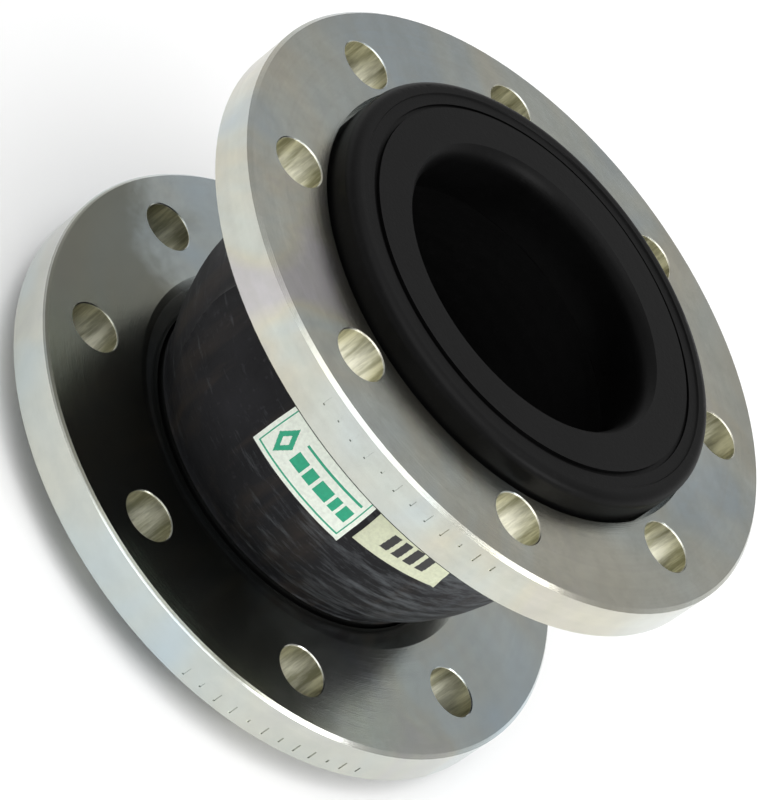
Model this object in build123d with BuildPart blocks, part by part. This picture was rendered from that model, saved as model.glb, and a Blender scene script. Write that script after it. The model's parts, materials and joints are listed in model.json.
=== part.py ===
from build123d import *

import math
import os

# Rubber expansion joint for a nominal 100 mm pipe, with one arch and two floating steel flanges.
# Millimetres. The origin is the centre of the lower sealing face, and +Z runs along the pipe.

# Pipe interface
face_to_face = 135.0
bore_radius = 50.0

# Flanges: 220 outside, eight 18 mm holes on a 180 mm circle
flange_radius = 110.0
flange_thickness = 17.0
flange_lip_radius = 62.5
counterbore_radius = 79.0
counterbore_depth = 7.0
flange_edge_chamfer = 1.2
relief_radius = 71.0
relief_depth = 2.2
bolt_circle_radius = 90.0
bolt_hole_radius = 9.0
bolt_hole_chamfer = 0.4
bolt_count = 8
bolt_phase = 22.5

# Short engraved strokes on each rim, in place of the stamped flange data
mark_count = 12
mark_step = 3.4
mark_width = 0.7
mark_depth = 0.35
mark_heights = (4.0, 2.6, 4.0, 4.0, 1.6)
mark_centre = 5.5
lower_mark_start = 138.0
upper_mark_start = 117.0

# Sealing collars, seated in the flange counterbores
collar_radius = 77.5
collar_height = 10.0
collar_corner_radius = 3.5
collar_rim_inner_radius = 72.0
collar_step_depth = 0.5
groove_outer_radius = 68.0
groove_inner_radius = 66.4
groove_depth = 1.3
mouth_radius = 53.0
mouth_depth = 6.5
neck_radius = 61.5
neck_bore_radius = 54.5
seat_gap = 0.3

# Bead: a pack of steel wires in a pocket of the collar, closed by a rubber filler
bead_inner_radius = 66.5
bead_columns = 4
bead_rows = 2
bead_pitch = 2.0
bead_wire_radius = 0.95
filler_height = 4.2

# Arch: liner, cord plies and cover. Each surface is given by its radius at the neck and at the
# crown. The cover follows circular arcs, and the layers inside it follow flatter curves.
layer_gap = 0.3
arch_inner_neck = neck_bore_radius
arch_inner_crown = 64.5
liner_neck_thickness = 1.8
liner_crown_thickness = 3.0
ply_neck_thickness = 0.7
ply_crown_thickness = 1.0
ply_count = 3
cover_neck_radius = 60.8
cover_crown_radius = 74.0

# Labels wrapped on the crown: start angle, sweep, lowest and highest point
label_thickness = 0.3
maker_label_place = (110.3, 31.9, 64.6, 88.0)
material_tag_place = (144.0, 26.3, 69.3, 86.0)

flange_inner_z = collar_height + flange_thickness
arch_start_z = flange_inner_z + layer_gap
arch_end_z = face_to_face - arch_start_z
mid_z = face_to_face / 2

os.makedirs("parts", exist_ok=True)


def finish(part, name):
    """Names a finished piece and writes it."""
    part.label = name
    export_step(part, f"parts/{name}.step")


def upper_from_lower(part):
    """The same piece at the other end of the joint."""
    return part.mirror(Plane.XY.offset(mid_z))


def make_flange(mark_start):
    """The lower flange, with its counterbore facing down."""
    outer_z = collar_height
    seat_z = outer_z + counterbore_depth
    edge = flange_edge_chamfer
    with BuildPart() as flange:
        with BuildSketch(Plane.XZ):
            with BuildLine():
                Polyline(
                    (flange_lip_radius, seat_z),
                    (counterbore_radius, seat_z),
                    (counterbore_radius, outer_z),
                    (flange_radius - edge, outer_z),
                    (flange_radius, outer_z + edge),
                    (flange_radius, flange_inner_z - edge),
                    (flange_radius - edge, flange_inner_z),
                    (relief_radius, flange_inner_z),
                    (flange_lip_radius, flange_inner_z - relief_depth),
                    close=True,
                )
            make_face()
        revolve(axis=Axis.Z)
        with BuildSketch(Plane.XY.offset(outer_z)):
            with PolarLocations(bolt_circle_radius, bolt_count, start_angle=bolt_phase):
                Circle(bolt_hole_radius)
        extrude(amount=flange_thickness, mode=Mode.SUBTRACT)
        hole_edges = flange.edges().filter_by(GeomType.CIRCLE)
        hole_edges = [rim for rim in hole_edges if abs(rim.radius - bolt_hole_radius) < 0.01]
        chamfer(hole_edges, length=bolt_hole_chamfer)
        for index in range(mark_count):
            angle = math.radians(mark_start + index * mark_step)
            height = mark_heights[index % len(mark_heights)]
            outward = Vector(math.cos(angle), math.sin(angle), 0)
            centre = flange_radius * outward + Vector(0, 0, outer_z + mark_centre)
            with BuildSketch(Plane(centre, x_dir=(0, 0, 1), z_dir=outward).offset(-mark_depth)):
                Rectangle(height, mark_width)
            extrude(amount=2 * mark_depth, mode=Mode.SUBTRACT)
    return flange.part


def collar_point(radius, height):
    """A point of the lower collar's profile, height being outward from the flange face."""
    return (radius, collar_height - height)


def make_collar():
    """The lower sealing collar with its neck and its bead pocket."""
    seat = -counterbore_depth + seat_gap
    pocket_top = seat + filler_height + bead_rows * bead_pitch
    bead_outer_radius = bead_inner_radius + bead_columns * bead_pitch
    rim_top = collar_height - collar_step_depth
    mouth_start = collar_point(mouth_radius, collar_height)
    mouth_end = collar_point(bore_radius, collar_height - mouth_depth)
    mouth_middle = collar_point(bore_radius + 0.9, collar_height - 0.4 * mouth_depth)
    throat_run = flange_thickness + collar_height - mouth_depth
    throat_rise = neck_bore_radius - bore_radius
    throat_arc = (throat_run**2 + throat_rise**2) / (2 * throat_rise)
    throat_bulge = throat_arc - math.sqrt(throat_arc**2 - throat_run**2 / 4)
    throat_middle = collar_point(
        bore_radius + throat_bulge, collar_height - mouth_depth - throat_run / 2
    )
    throat_end = collar_point(neck_bore_radius, -flange_thickness)
    corner = collar_corner_radius
    corner_middle = corner * (1 - math.sqrt(0.5))
    with BuildPart() as collar:
        with BuildSketch(Plane.XZ):
            with BuildLine():
                ThreePointArc(mouth_end, throat_middle, throat_end)
                Polyline(
                    throat_end,
                    collar_point(neck_radius, -flange_thickness),
                    collar_point(neck_radius, seat),
                    collar_point(bead_inner_radius, seat),
                    collar_point(bead_inner_radius, pocket_top),
                    collar_point(bead_outer_radius, pocket_top),
                    collar_point(bead_outer_radius, seat),
                    collar_point(collar_radius, seat),
                    collar_point(collar_radius, collar_height - corner),
                )
                ThreePointArc(
                    collar_point(collar_radius, collar_height - corner),
                    collar_point(collar_radius - corner_middle, collar_height - corner_middle),
                    collar_point(collar_radius - corner, collar_height),
                )
                Polyline(
                    collar_point(collar_radius - corner, collar_height),
                    collar_point(collar_rim_inner_radius, collar_height),
                    collar_point(collar_rim_inner_radius - 0.3, rim_top),
                    collar_point(groove_outer_radius, rim_top),
                    collar_point(groove_outer_radius, collar_height - groove_depth),
                    collar_point(groove_inner_radius, collar_height - groove_depth),
                    collar_point(groove_inner_radius, collar_height),
                    mouth_start,
                )
                ThreePointArc(mouth_start, mouth_middle, mouth_end)
            make_face()
        revolve(axis=Axis.Z)
    return collar.part


def make_bead_filler():
    """Rubber strip that closes the lower bead pocket."""
    seat_z = collar_height + counterbore_depth - seat_gap
    bead_outer_radius = bead_inner_radius + bead_columns * bead_pitch
    with BuildPart() as filler:
        with BuildSketch(Plane.XY.offset(seat_z - filler_height)):
            Circle(bead_outer_radius)
            Circle(bead_inner_radius, mode=Mode.SUBTRACT)
        extrude(amount=filler_height)
    return filler.part


def make_bead_wire():
    """The lower bead: separate wire rings packed in rows."""
    filler_z = collar_height + counterbore_depth - seat_gap - filler_height
    with BuildPart() as wires:
        for row in range(bead_rows):
            for column in range(bead_columns):
                ring_radius = bead_inner_radius + (column + 0.5) * bead_pitch
                ring_z = filler_z - (row + 0.5) * bead_pitch
                with BuildSketch(Plane.XZ):
                    with Locations((ring_radius, ring_z)):
                        Circle(bead_wire_radius)
                revolve(axis=Axis.Z)
    return wires.part


def arch_arc(neck, crown):
    """The arc of one arch surface, from the lower end to the upper end."""
    return ThreePointArc((neck, arch_start_z), (crown, mid_z), (neck, arch_end_z))


def arch_curve(neck, crown):
    """The curve of one inner surface, through the crown at mid height."""
    peak = 2 * crown - neck
    return Bezier((neck, arch_start_z), (peak, mid_z), (neck, arch_end_z))


def make_layer(surface, inner_neck, inner_crown, outer_neck, outer_crown):
    """One closed layer of the arch, between two surfaces of the same kind."""
    with BuildPart() as layer:
        with BuildSketch(Plane.XZ):
            with BuildLine():
                surface(inner_neck, inner_crown)
                surface(outer_neck, outer_crown)
                Line((inner_neck, arch_start_z), (outer_neck, arch_start_z))
                Line((inner_neck, arch_end_z), (outer_neck, arch_end_z))
            make_face()
        revolve(axis=Axis.Z)
    return layer.part


def cover_radius(z):
    """The radius of the arch's outside at a height."""
    half_height = mid_z - arch_start_z
    rise = cover_crown_radius - cover_neck_radius
    arc = (half_height**2 + rise**2) / (2 * rise)
    return cover_crown_radius - arc + math.sqrt(arc**2 - (z - mid_z) ** 2)


def make_label(place):
    """A thin label bent round the arch."""
    start_angle, sweep_angle, low, high = place
    back = [(cover_radius(z), z) for z in (low, (low + high) / 2, high)]
    front = [(radius + label_thickness, z) for radius, z in back]
    with BuildPart() as label:
        with BuildSketch(Plane.XZ):
            with BuildLine():
                ThreePointArc(*back)
                ThreePointArc(*front)
                Line(back[0], front[0])
                Line(back[-1], front[-1])
            make_face()
        revolve(axis=Axis.Z, revolution_arc=sweep_angle)
    return label.part.rotate(Axis.Z, start_angle)


# Floating flanges
finish(make_flange(lower_mark_start), "lower_flange")
finish(upper_from_lower(make_flange(upper_mark_start)), "upper_flange")

# Ends: collar, bead wires and filler
lower_end_pieces = {
    "collar": make_collar(),
    "bead_wire": make_bead_wire(),
    "bead_filler": make_bead_filler(),
}
for piece_name, piece in lower_end_pieces.items():
    finish(piece, f"lower_{piece_name}")
    finish(upper_from_lower(piece), f"upper_{piece_name}")

# Arch: liner, plies and cover, from the inside out
neck = arch_inner_neck + liner_neck_thickness
crown = arch_inner_crown + liner_crown_thickness
liner = make_layer(arch_curve, arch_inner_neck, arch_inner_crown, neck, crown)
finish(liner, "inner_liner")
for ply in range(ply_count):
    outer_neck = neck + ply_neck_thickness
    outer_crown = crown + ply_crown_thickness
    cord_ply = make_layer(arch_curve, neck, crown, outer_neck, outer_crown)
    finish(cord_ply, f"cord_ply_{ply + 1}")
    neck = outer_neck
    crown = outer_crown
cover_inner_neck = neck + layer_gap
cover_inner_crown = crown + layer_gap
cover = make_layer(
    arch_arc, cover_inner_neck, cover_inner_crown, cover_neck_radius, cover_crown_radius
)
finish(cover, "outer_cover")

# Labels
finish(make_label(maker_label_place), "maker_label")
finish(make_label(material_tag_place), "material_tag")
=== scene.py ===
import json
import math

import bpy
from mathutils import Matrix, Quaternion, Vector, noise


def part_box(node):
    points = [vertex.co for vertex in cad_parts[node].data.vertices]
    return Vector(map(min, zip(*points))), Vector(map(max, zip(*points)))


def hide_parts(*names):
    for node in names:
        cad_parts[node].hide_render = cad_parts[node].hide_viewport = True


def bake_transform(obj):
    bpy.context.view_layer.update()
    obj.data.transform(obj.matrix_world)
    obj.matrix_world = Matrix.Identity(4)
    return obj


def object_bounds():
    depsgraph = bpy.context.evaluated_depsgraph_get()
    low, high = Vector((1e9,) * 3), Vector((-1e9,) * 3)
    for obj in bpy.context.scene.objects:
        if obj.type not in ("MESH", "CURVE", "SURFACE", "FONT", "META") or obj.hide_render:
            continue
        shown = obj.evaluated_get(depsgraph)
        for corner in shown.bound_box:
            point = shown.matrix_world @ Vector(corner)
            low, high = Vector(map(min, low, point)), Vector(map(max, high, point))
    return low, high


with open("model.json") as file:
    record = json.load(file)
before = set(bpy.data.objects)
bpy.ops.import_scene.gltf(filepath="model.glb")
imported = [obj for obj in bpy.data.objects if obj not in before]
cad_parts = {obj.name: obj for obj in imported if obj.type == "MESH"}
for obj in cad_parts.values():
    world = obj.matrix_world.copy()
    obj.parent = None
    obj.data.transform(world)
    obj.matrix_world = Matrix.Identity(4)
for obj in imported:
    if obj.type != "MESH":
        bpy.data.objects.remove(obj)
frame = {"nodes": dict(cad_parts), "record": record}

CAD_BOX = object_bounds()
MM = 0.001

# ---------------------------------------------------------------- places read from the frame
LOW, HIGH = CAD_BOX
MID_Z = (LOW.z + HIGH.z) / 2
COLLAR_LOW, COLLAR_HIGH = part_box("lower_collar")
COVER_LOW, COVER_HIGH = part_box("outer_cover")

CROWN_RADIUS = COVER_HIGH.x
NECK_RADIUS = 60.8 * MM
INNER_NECK_RADIUS = 54.5 * MM
INNER_CROWN_RADIUS = 64.5 * MM
BOLTS = next(m for m in frame["record"]["mounts"] if m["name"] == "upper_bolt_circle")["dims"]
BOLT_CIRCLE = BOLTS["pcd_mm"] / 2 * MM
BOLT_HOLE = BOLTS["hole_r_mm"] * MM
HOLE_MARGIN = 0.08 * MM
# Lowest height of the dark patch that is partly real staining and partly painted reflection of the arch.
STAIN_AND_REFLECTION_LOW_Z = HIGH.z * 0.195
ARCH_LOW_Z = COLLAR_HIGH.z
ARCH_HIGH_Z = HIGH.z - COLLAR_HIGH.z
BEND_ZONE = 22.5 * MM
SEAM_LOW_Z = ARCH_LOW_Z + BEND_ZONE
SEAM_HIGH_Z = ARCH_HIGH_Z - BEND_ZONE


# ---------------------------------------------------------------- camera
def make_camera():
    """The photograph's viewpoint: a long lens, rolled so that the pipe axis leans up and to the right."""
    azimuth, elevation, roll = math.radians(121.98), math.radians(33.04), math.radians(53.29)
    distance = 1.2832
    aim_right, aim_up = -0.00059, -0.00165
    data = bpy.data.cameras.new("camera")
    data.sensor_width = 36
    data.lens = 179.3
    data.clip_start, data.clip_end = 0.01, 50
    camera = bpy.data.objects.new("camera", data)
    bpy.context.scene.collection.objects.link(camera)
    back = Vector((
        math.cos(azimuth) * math.cos(elevation),
        math.sin(azimuth) * math.cos(elevation),
        math.sin(elevation),
    ))
    turn = (-back).to_track_quat("-Z", "Y") @ Quaternion((0, 0, 1), roll)
    right, up = turn @ Vector((1, 0, 0)), turn @ Vector((0, 1, 0))
    camera.rotation_mode = "QUATERNION"
    camera.rotation_quaternion = turn
    camera.location = Vector((0, 0, MID_Z)) + back * distance + right * aim_right + up * aim_up
    bpy.context.scene.camera = camera


# ---------------------------------------------------------------- node helpers
class Nodes:
    """A short way to write a material's node tree."""

    def __init__(self, name):
        self.material = bpy.data.materials.new(name)
        self.material.use_nodes = True
        self.tree = self.material.node_tree
        self.shader = self.tree.nodes["Principled BSDF"]
        coordinates = self.tree.nodes.new("ShaderNodeTexCoord")
        self.object = coordinates.outputs["Object"]

    def link(self, source, socket):
        """Joins an output, or sets a plain value."""
        if hasattr(source, "node"):
            self.tree.links.new(source, socket)
        else:
            socket.default_value = source

    def math(self, operation, first, second=0.0, clamp=False):
        node = self.tree.nodes.new("ShaderNodeMath")
        node.operation = operation
        node.use_clamp = clamp
        self.link(first, node.inputs[0])
        self.link(second, node.inputs[1])
        return node.outputs[0]

    def xyz(self):
        node = self.tree.nodes.new("ShaderNodeSeparateXYZ")
        self.link(self.object, node.inputs[0])
        return node.outputs

    def combine(self, x, y, z):
        node = self.tree.nodes.new("ShaderNodeCombineXYZ")
        for value, socket in zip((x, y, z), node.inputs):
            self.link(value, socket)
        return node.outputs[0]

    def noise(self, scale, detail=4.0, rough=0.55, vector=None, distortion=0.0):
        node = self.tree.nodes.new("ShaderNodeTexNoise")
        self.link(vector if vector is not None else self.object, node.inputs["Vector"])
        node.inputs["Scale"].default_value = scale
        node.inputs["Detail"].default_value = detail
        node.inputs["Roughness"].default_value = rough
        node.inputs["Distortion"].default_value = distortion
        return node.outputs["Fac"]

    def ramp(self, value, stops, smooth=False):
        node = self.tree.nodes.new("ShaderNodeValToRGB")
        ramp = node.color_ramp
        ramp.interpolation = "EASE" if smooth else "LINEAR"
        while len(ramp.elements) < len(stops):
            ramp.elements.new(0.5)
        for element, (place, colour) in zip(ramp.elements, stops):
            element.position = place
            grey = isinstance(colour, (int, float))
            element.color = (colour, colour, colour, 1) if grey else (*colour, 1)
        self.link(value, node.inputs[0])
        return node.outputs[0]

    def mix(self, factor, first, second):
        node = self.tree.nodes.new("ShaderNodeMix")
        node.data_type = "RGBA"
        node.clamp_factor = True
        self.link(factor, node.inputs[0])
        for colour, socket in ((first, node.inputs[6]), (second, node.inputs[7])):
            self.link(colour if hasattr(colour, "node") else (*colour, 1), socket)
        return node.outputs[2]

    def bump(self, height, distance, strength):
        node = self.tree.nodes.new("ShaderNodeBump")
        node.inputs["Strength"].default_value = strength
        node.inputs["Distance"].default_value = distance
        self.link(height, node.inputs["Height"])
        return node.outputs[0]

    def set(self, **values):
        for name, value in values.items():
            socket = self.shader.inputs[name.replace("_", " ").title().replace("Ior", "IOR")]
            self.link(value, socket)
        return self.material


# ---------------------------------------------------------------- materials
def hole_mask(n, x, y, radius):
    """1 on the walls of the bolt holes, 0 on the rest of the flange."""
    turn = n.math("MULTIPLY", n.math("ARCTAN2", y, x), BOLTS["count"] / (2 * math.pi))
    part_turn = n.math("SUBTRACT", n.math("FRACT", n.math("ADD", turn, 8.0)), 0.5)
    angle = n.math("MULTIPLY", part_turn, 2 * math.pi / BOLTS["count"])
    outward = n.math("SUBTRACT", n.math("MULTIPLY", radius, n.math("COSINE", angle)), BOLT_CIRCLE)
    across = n.math("MULTIPLY", radius, n.math("SINE", angle))
    far = n.math("ADD", n.math("MULTIPLY", outward, outward), n.math("MULTIPLY", across, across))
    return n.math("LESS_THAN", n.math("SQRT", far), BOLT_HOLE + HOLE_MARGIN)


def zinc_material(name, turn, rough_base, stain_and_reflection, cool):
    """Zinc-plated, passivated steel: lathe rings, clouded tints, dull patches, yellower holes. The darker
    patch towards +Y above a set height is partly real staining and partly a painted reflection of the dark
    arch.
    """
    n = Nodes(name)
    x, y, z = n.xyz()
    radius = n.math("SQRT", n.math("ADD", n.math("MULTIPLY", x, x), n.math("MULTIPLY", y, y)))
    lathe_line = n.combine(radius, 0.0, n.math("MULTIPLY", z, 0.6))
    rings = n.noise(2600.0, detail=3.0, rough=0.75, vector=lathe_line)
    broad_rings = n.noise(260.0, detail=2.0, vector=lathe_line)
    clouds = n.noise(16.0, detail=5.0, rough=0.6, distortion=0.6)
    tint = n.noise(9.0 + turn, detail=3.0, distortion=1.2)
    grain = n.noise(900.0, detail=2.0)
    base = n.ramp(clouds, [(0.32, (0.34, 0.345, 0.31)), (0.66, (0.57, 0.58, 0.54))])
    tints = n.ramp(tint, [
        (0.34, (0.42, 0.51, 0.56)),
        (0.46, (0.58, 0.61, 0.53)),
        (0.56, (0.64, 0.59, 0.43)),
        (0.68, (0.53, 0.48, 0.52)),
    ])
    colour = n.mix(0.6, base, tints)
    colour = n.mix(n.ramp(rings, [(0.35, 0.0), (0.75, 0.22)]), colour, (0.34, 0.34, 0.32))
    colour = n.mix(n.ramp(broad_rings, [(0.4, 0.0), (0.7, 0.32)]), colour, (0.42, 0.40, 0.36))
    mottle = n.noise(120.0, detail=7.0, rough=0.7)
    colour = n.mix(n.ramp(mottle, [(0.42, 0.0), (0.68, 0.3)]), colour, (0.33, 0.33, 0.28))
    colour = n.mix(n.ramp(tint, [(0.3, cool), (0.6, 0.4 * cool)]), colour, (0.50, 0.60, 0.66))
    # Painted reflection and real staining: a dark olive patch towards +Y above a set height, where the
    # lower flange's face mirrors the dark arch.
    patches = n.noise(20.0, detail=5.0, rough=0.6, distortion=0.4)
    stain_and_reflection_mask = n.math("ADD", n.math("MULTIPLY", y, 11.0), n.math("MULTIPLY", patches, 0.8))
    upward = n.math("GREATER_THAN", z, STAIN_AND_REFLECTION_LOW_Z)
    stain_and_reflection_mask = n.math("MULTIPLY", n.ramp(stain_and_reflection_mask, [(0.72, 0.0), (1.0, stain_and_reflection)], smooth=True), upward)
    colour = n.mix(stain_and_reflection_mask, colour, (0.16, 0.16, 0.12))
    walls = hole_mask(n, x, y, radius)
    drilled = n.combine(x, y, n.math("MULTIPLY", z, 0.12))
    streaks = n.noise(330.0, detail=5.0, rough=0.65, vector=drilled)
    brass = n.ramp(streaks, [(0.38, (0.40, 0.39, 0.27)), (0.62, (0.90, 0.88, 0.72))])
    colour = n.mix(walls, colour, brass)
    rough = n.math("ADD", n.math("MULTIPLY", clouds, 0.16), n.math("MULTIPLY", rings, 0.10))
    rough = n.math("ADD", n.math("ADD", rough, n.math("MULTIPLY", walls, 0.16)), rough_base)
    height = n.math("ADD", n.math("MULTIPLY", rings, 0.7), n.math("MULTIPLY", grain, 0.3))
    height = n.math("ADD", height, n.math("MULTIPLY", walls, n.noise(500.0, detail=3.0)))
    normal = n.bump(height, 0.00010, 0.6)
    return n.set(base_color=colour, metallic=1.0, roughness=rough, normal=normal)


def rubber_material(name, dark, light, rough, grain_scale, ring_bump, bloom_and_sheen=0.0):
    """Black moulded rubber with a faint bloom, fine grain and mould rings.

    The last argument sets how strong the pale marks are that run round the pipe: bloom, with painted sheen
    that makes them densest towards -X, which faces the key light.
    """
    n = Nodes(name)
    x, y, z = n.xyz()
    radius = n.math("SQRT", n.math("ADD", n.math("MULTIPLY", x, x), n.math("MULTIPLY", y, y)))
    turned = n.combine(radius, 0.0, z)
    bloom = n.noise(22.0, detail=6.0, rough=0.65, distortion=0.4)
    speck = n.noise(420.0, detail=2.0)
    rings = n.noise(700.0, detail=3.0, vector=turned)
    colour = n.ramp(bloom, [(0.35, dark), (0.75, light)])
    colour = n.mix(n.ramp(speck, [(0.62, 0.0), (0.72, 0.5)]), colour, tuple(1.6 * c for c in light))
    if bloom_and_sheen:
        around = n.combine(n.math("MULTIPLY", x, 0.16), n.math("MULTIPLY", y, 0.16), z)
        bloom_and_sheen_wisps = n.noise(340.0, detail=6.0, rough=0.75, vector=around)
        # Painted sheen: the pale marks grow stronger towards -X, which faces the key light.
        toward = n.math("SUBTRACT", n.math("MULTIPLY", x, -20.0), 0.55)
        painted_sheen_side = n.math("MULTIPLY", toward, bloom_and_sheen, clamp=True)
        bloom_and_sheen_wisps = n.ramp(n.math("ADD", bloom_and_sheen_wisps, n.math("MULTIPLY", painted_sheen_side, 0.16)), [(0.58, 0.0), (0.80, 0.8)])
        along = n.combine(x, y, n.math("MULTIPLY", z, 0.14))
        smears = n.noise(75.0, detail=5.0, rough=0.6, distortion=0.5, vector=along)
        colour = n.mix(n.ramp(smears, [(0.50, 0.0), (0.72, 0.7)]), colour, (0.040, 0.032, 0.026))
        colour = n.mix(bloom_and_sheen_wisps, colour, (0.10, 0.108, 0.115))
    roughness = n.math("ADD", n.math("MULTIPLY", bloom, 0.18), rough)
    fine = n.noise(grain_scale, detail=3.0)
    height = n.math("ADD", n.math("MULTIPLY", fine, 0.6), n.math("MULTIPLY", rings, ring_bump))
    normal = n.bump(height, 0.00012, 0.6)
    n.shader.inputs["Specular IOR Level"].default_value = 0.1
    return n.set(base_color=colour, roughness=roughness, normal=normal)


def plain_material(name, colour, rough, metallic=0.0, scale=300.0):
    """A simple finish with slight mottling, for pieces inside the joint."""
    n = Nodes(name)
    mottle = n.noise(scale, detail=3.0)
    tone = n.mix(n.ramp(mottle, [(0.35, 0.0), (0.7, 0.35)]), colour, tuple(0.6 * c for c in colour))
    normal = n.bump(mottle, 0.00008, 0.5)
    return n.set(base_color=tone, metallic=metallic, roughness=rough, normal=normal)


def give(node, material):
    """Puts a material on a carried-over CAD piece."""
    data = frame["nodes"][node].data
    data.materials.clear()
    data.materials.append(material)


# ---------------------------------------------------------------- stage and light
def make_stage():
    bpy.ops.mesh.primitive_plane_add(size=30, location=(0, 0, LOW.z - 0.0002))
    floor = bpy.context.object
    floor.name = "floor"
    n = Nodes("floor_white")
    n.set(base_color=(0.93, 0.93, 0.93, 1), roughness=0.9)
    floor.data.materials.append(n.material)


def area_light(name, azimuth, elevation, distance, size, power):
    data = bpy.data.lights.new(name, "AREA")
    data.shape = "RECTANGLE"
    data.size, data.size_y = size
    data.energy = power
    light = bpy.data.objects.new(name, data)
    bpy.context.scene.collection.objects.link(light)
    a, e = math.radians(azimuth), math.radians(elevation)
    direction = Vector((math.cos(a) * math.cos(e), math.sin(a) * math.cos(e), math.sin(e)))
    light.location = Vector((0, 0, MID_Z)) + direction * distance
    light.rotation_mode = "QUATERNION"
    light.rotation_quaternion = (-direction).to_track_quat("-Z", "Y")


def make_light():
    world = bpy.data.worlds.new("studio")
    bpy.context.scene.world = world
    world.use_nodes = True
    tree = world.node_tree
    background = tree.nodes["Background"]
    coordinates = tree.nodes.new("ShaderNodeTexCoord")
    split = tree.nodes.new("ShaderNodeSeparateXYZ")
    ramp = tree.nodes.new("ShaderNodeValToRGB")
    stops = [(0.0, 0.90), (0.22, 0.70), (0.42, 0.49), (0.66, 0.51), (0.82, 1.3)]
    while len(ramp.color_ramp.elements) < len(stops):
        ramp.color_ramp.elements.new(0.5)
    for element, (place, grey) in zip(ramp.color_ramp.elements, stops):
        element.position = place
        element.color = (grey, grey, grey, 1)
    tree.links.new(coordinates.outputs["Generated"], split.inputs[0])
    tree.links.new(split.outputs[2], ramp.inputs[0])
    tree.links.new(ramp.outputs[0], background.inputs["Color"])
    background.inputs["Strength"].default_value = 1.0
    area_light("key", 190, 30, 1.4, (0.7, 0.5), 7)
    area_light("top", 128, 72, 2.0, (1.8, 1.8), 15)
    view = bpy.context.scene.view_settings
    view.view_transform = "Standard"
    view.look = "None"


# ---------------------------------------------------------------- arch
def arc_radius(z, neck, crown):
    """Radius at a height of the arc that runs from neck to crown to neck."""
    half = (COVER_HIGH.z - COVER_LOW.z) / 2
    rise = crown - neck
    arc = (half**2 + rise**2) / (2 * rise)
    return crown - arc + math.sqrt(max(arc**2 - (z - MID_Z) ** 2, 0))


def smooth_step(value, low, high):
    t = min(max((value - low) / (high - low), 0), 1)
    return t * t * (3 - 2 * t)


def wrap_relief(angle, z):
    """Height of the cured wrap on the arch: tape steps, an axial overlap ridge, and soft lumps."""
    turn = angle / (2 * math.pi)
    tape = ((z - ARCH_LOW_Z) / (19 * MM) - turn) % 1
    step = 0.16 * MM * (1 - tape) * smooth_step(tape, 0, 0.05)
    ridge_angle = math.radians(73 + 4 * smooth_step(MID_Z - z, 0, 0.02))
    across = (angle - ridge_angle) * CROWN_RADIUS
    along = smooth_step(z, 0.042, 0.05) * (1 - smooth_step(z, 0.088, 0.095))
    ridge = 0.75 * MM * along * math.exp(-((across / (1.1 * MM)) ** 2))
    fold = 0.45 * MM * along * smooth_step(across, -0.5 * MM, 0.5 * MM)
    fold *= 1 - smooth_step(across, 0.5 * MM, 14 * MM)
    place = Vector((math.cos(angle), math.sin(angle), z / CROWN_RADIUS))
    lumps = 0.28 * MM * noise.noise(place * 3.1) + 0.07 * MM * noise.noise(place * 14)
    fade = smooth_step(min(z - ARCH_LOW_Z, ARCH_HIGH_Z - z), 0, 5 * MM)
    return (step + ridge + fold + lumps) * fade


def cover_surface(angle, z):
    """Radius of the arch's outside, flared where the root meets the flange."""
    to_end = min(z - ARCH_LOW_Z, ARCH_HIGH_Z - z)
    root = 1.4 * MM * math.exp(-to_end / (1.4 * MM))
    return arc_radius(z, NECK_RADIUS, CROWN_RADIUS) + root + wrap_relief(angle, z)


def liner_surface(angle, z):
    """Radius of the arch's inside, with faint rings left by the mandrel."""
    place = Vector((math.cos(angle), math.sin(angle), z / CROWN_RADIUS))
    rings = 0.05 * MM * math.sin(z / (1.3 * MM))
    return arc_radius(z, INNER_NECK_RADIUS, INNER_CROWN_RADIUS) + rings + 0.15 * MM * noise.noise(place * 4)


def closed_ring(name, rows, spokes, material_of_row, materials):
    """A closed ring: rows are (radius function, height), in order round its section."""
    vertices = []
    for surface, z in rows:
        for spoke in range(spokes):
            angle = 2 * math.pi * spoke / spokes
            radius = surface(angle, z)
            vertices.append((radius * math.cos(angle), radius * math.sin(angle), z))
    faces, slots = [], []
    for row in range(len(rows)):
        following = (row + 1) % len(rows)
        for spoke in range(spokes):
            beside = (spoke + 1) % spokes
            faces.append((
                row * spokes + spoke,
                row * spokes + beside,
                following * spokes + beside,
                following * spokes + spoke,
            ))
            slots.append(material_of_row(row))
    return mesh_piece(name, vertices, faces, slots, materials)


def mesh_piece(name, vertices, faces, slots, materials, sharp=40):
    """Makes a smooth-shaded mesh object, one material slot number for each face."""
    data = bpy.data.meshes.new(name)
    data.from_pydata(vertices, [], faces)
    for material in materials:
        data.materials.append(material)
    data.polygons.foreach_set("material_index", slots)
    data.shade_smooth()
    data.set_sharp_from_angle(angle=math.radians(sharp))
    data.validate()
    piece = bpy.data.objects.new(name, data)
    bpy.context.scene.collection.objects.link(piece)
    return piece


def heights(low, high, step):
    count = max(2, round((high - low) / step) + 1)
    return [low + (high - low) * index / (count - 1) for index in range(count)]


def make_arch_zone(name, low, high, stands_for, cover, liner):
    """One zone of the arch's wall, a fixed ring mesh; the CAD pieces it stands for are hidden."""
    outside = [(cover_surface, z) for z in heights(low, high, 0.6 * MM)]
    inside = [(liner_surface, z) for z in reversed(heights(low, high, 1.2 * MM))]
    last_outside = len(outside) - 1
    piece = closed_ring(
        name, outside + inside, 360, lambda row: 0 if row < last_outside else 1, [cover, liner]
    )
    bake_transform(piece)
    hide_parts(*stands_for)


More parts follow.
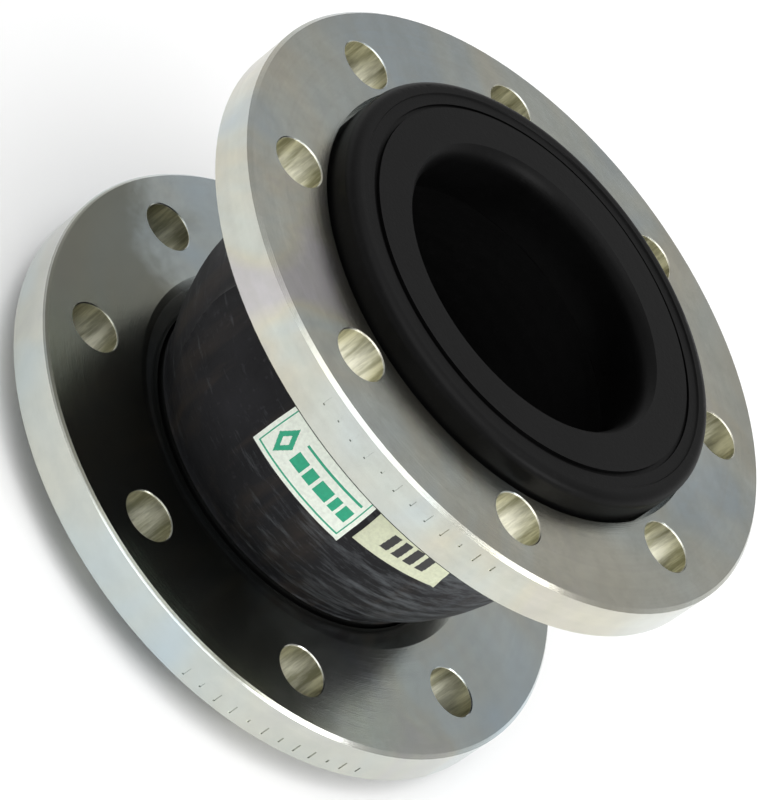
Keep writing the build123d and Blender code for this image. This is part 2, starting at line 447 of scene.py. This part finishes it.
def make_arch(cover, liner):
    make_arch_zone(
        "arch_lower", ARCH_LOW_Z, SEAM_LOW_Z, ("inner_liner",), cover, liner
    )
    make_arch_zone(
        "arch_middle",
        SEAM_LOW_Z,
        SEAM_HIGH_Z,
        ("cord_ply_1", "cord_ply_2", "cord_ply_3"),
        cover,
        liner,
    )
    make_arch_zone(
        "arch_upper", SEAM_HIGH_Z, ARCH_HIGH_Z, ("outer_cover",), cover, liner
    )


# ---------------------------------------------------------------- labels
def angle_span(node):
    """The lowest and highest angle of a CAD piece round the pipe axis."""
    angles = [math.atan2(vertex.co.y, vertex.co.x) for vertex in frame["nodes"][node].data.vertices]
    return min(angles), max(angles)


def make_label(name, node, design, materials, cell=0.22 * MM, thickness=0.22 * MM):
    """A thin printed label laid on the middle of the arch. design gives each cell's material."""
    low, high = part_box(node)
    first, last = angle_span(node)
    columns = round((last - first) * CROWN_RADIUS / cell)
    rows = round((high.z - low.z) / cell)

    def corner(u, v, lift):
        angle = first + (last - first) * u
        z = low.z + (high.z - low.z) * v
        curl = 0.35 * MM * smooth_step(u, 0.965, 1.0) * (1 - smooth_step(v, 0.0, 0.3))
        radius = cover_surface(angle, z) + 0.03 * MM + lift + curl
        return (radius * math.cos(angle), radius * math.sin(angle), z)

    vertices, faces, slots = [], [], []
    for lift in (thickness, 0.0):
        for row in range(rows + 1):
            for column in range(columns + 1):
                vertices.append(corner(column / columns, row / rows, lift))
    layer = (rows + 1) * (columns + 1)

    def index(column, row, level):
        return level * layer + row * (columns + 1) + column

    for row in range(rows):
        for column in range(columns):
            a, b = index(column, row, 0), index(column + 1, row, 0)
            c, d = index(column + 1, row + 1, 0), index(column, row + 1, 0)
            faces.append((a, b, c, d))
            slots.append(design((column + 0.5) / columns, (row + 0.5) / rows))
            faces.append((d + layer, c + layer, b + layer, a + layer))
            slots.append(0)
    rim = [(column, 0) for column in range(columns)]
    rim += [(columns, row) for row in range(rows)]
    rim += [(column, rows) for column in range(columns, 0, -1)]
    rim += [(0, row) for row in range(rows, 0, -1)]
    for here, there in zip(rim, rim[1:] + rim[:1]):
        faces.append((index(*there, 0), index(*here, 0), index(*here, 1), index(*there, 1)))
        slots.append(0)
    piece = mesh_piece(name, vertices, faces, slots, materials)
    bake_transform(piece)
    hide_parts(node)


def inside(u, v, left, right, bottom, top):
    return left <= u <= right and bottom <= v <= top


def maker_design(u, v):
    """A green line border, a plain green diamond, and bars where printing would be."""
    edge = 0.035
    if not inside(u, v, edge, 1 - edge, 2 * edge, 1):
        return 0
    if not inside(u, v, edge + 0.014, 1 - edge - 0.014, 2 * edge + 0.026, 1):
        return 1
    diamond = abs(u - 0.17) / 0.085 + abs(v - 0.42) / 0.26
    if 0.45 < diamond < 1:
        return 1
    bars = ((0.30, 0.42), (0.45, 0.54), (0.57, 0.71), (0.74, 0.80), (0.83, 0.92))
    if any(inside(u, v, left, right, 0.28, 0.50) for left, right in bars):
        return 1
    if inside(u, v, 0.30, 0.92, 0.62, 0.66):
        return 1
    return 0


def tag_design(u, v):
    """Four slanted black bars on a pale tag."""
    slanted = u - 0.06 * (v - 0.4)
    bars = ((0.24, 0.33), (0.38, 0.47), (0.52, 0.62), (0.67, 0.77))
    for left, right in bars:
        if inside(slanted, v, left, right, 0.22, 0.62):
            return 1
    return 0


# ---------------------------------------------------------------- main
make_camera()
make_stage()
make_light()

zinc_low = zinc_material("zinc_lower", 0.0, 0.06, 0.75, 0.6)
zinc_high = zinc_material("zinc_upper", 2.3, 0.10, 0.0, 0.15)
collar_rubber = rubber_material(
    "collar_rubber", (0.0015, 0.0015, 0.0015), (0.0034, 0.0034, 0.0035), 0.34, 900.0, 0.5
)
cover_rubber = rubber_material(
    "cover_rubber", (0.009, 0.009, 0.01), (0.022, 0.022, 0.025), 0.45, 700.0, 1.0, bloom_and_sheen=1.0
)
liner_rubber = rubber_material(
    "liner_rubber", (0.003, 0.003, 0.003), (0.006, 0.006, 0.0062), 0.38, 900.0, 0.4
)
give("lower_flange", zinc_low)
give("upper_flange", zinc_high)
for node in ("lower_collar", "upper_collar"):
    give(node, collar_rubber)
for node in ("cord_ply_1", "cord_ply_2", "cord_ply_3"):
    give(node, plain_material(node, (0.33, 0.27, 0.19), 0.8))
for node in ("lower_bead_wire", "upper_bead_wire"):
    give(node, plain_material(node, (0.45, 0.38, 0.24), 0.35, metallic=1.0))
for node in ("lower_bead_filler", "upper_bead_filler"):
    give(node, plain_material(node, (0.03, 0.03, 0.03), 0.6))
make_arch(cover_rubber, liner_rubber)
paper = plain_material("label_paper", (0.90, 0.96, 0.86), 0.45, scale=900.0)
green = plain_material("label_green", (0.01, 0.40, 0.22), 0.45, scale=900.0)
tag_film = plain_material("tag_film", (0.66, 0.69, 0.50), 0.5, scale=900.0)
ink = plain_material("tag_ink", (0.02, 0.02, 0.02), 0.5, scale=900.0)
make_label("maker_label_print", "maker_label", maker_design, [paper, green])
make_label("material_tag_print", "material_tag", tag_design, [tag_film, ink])
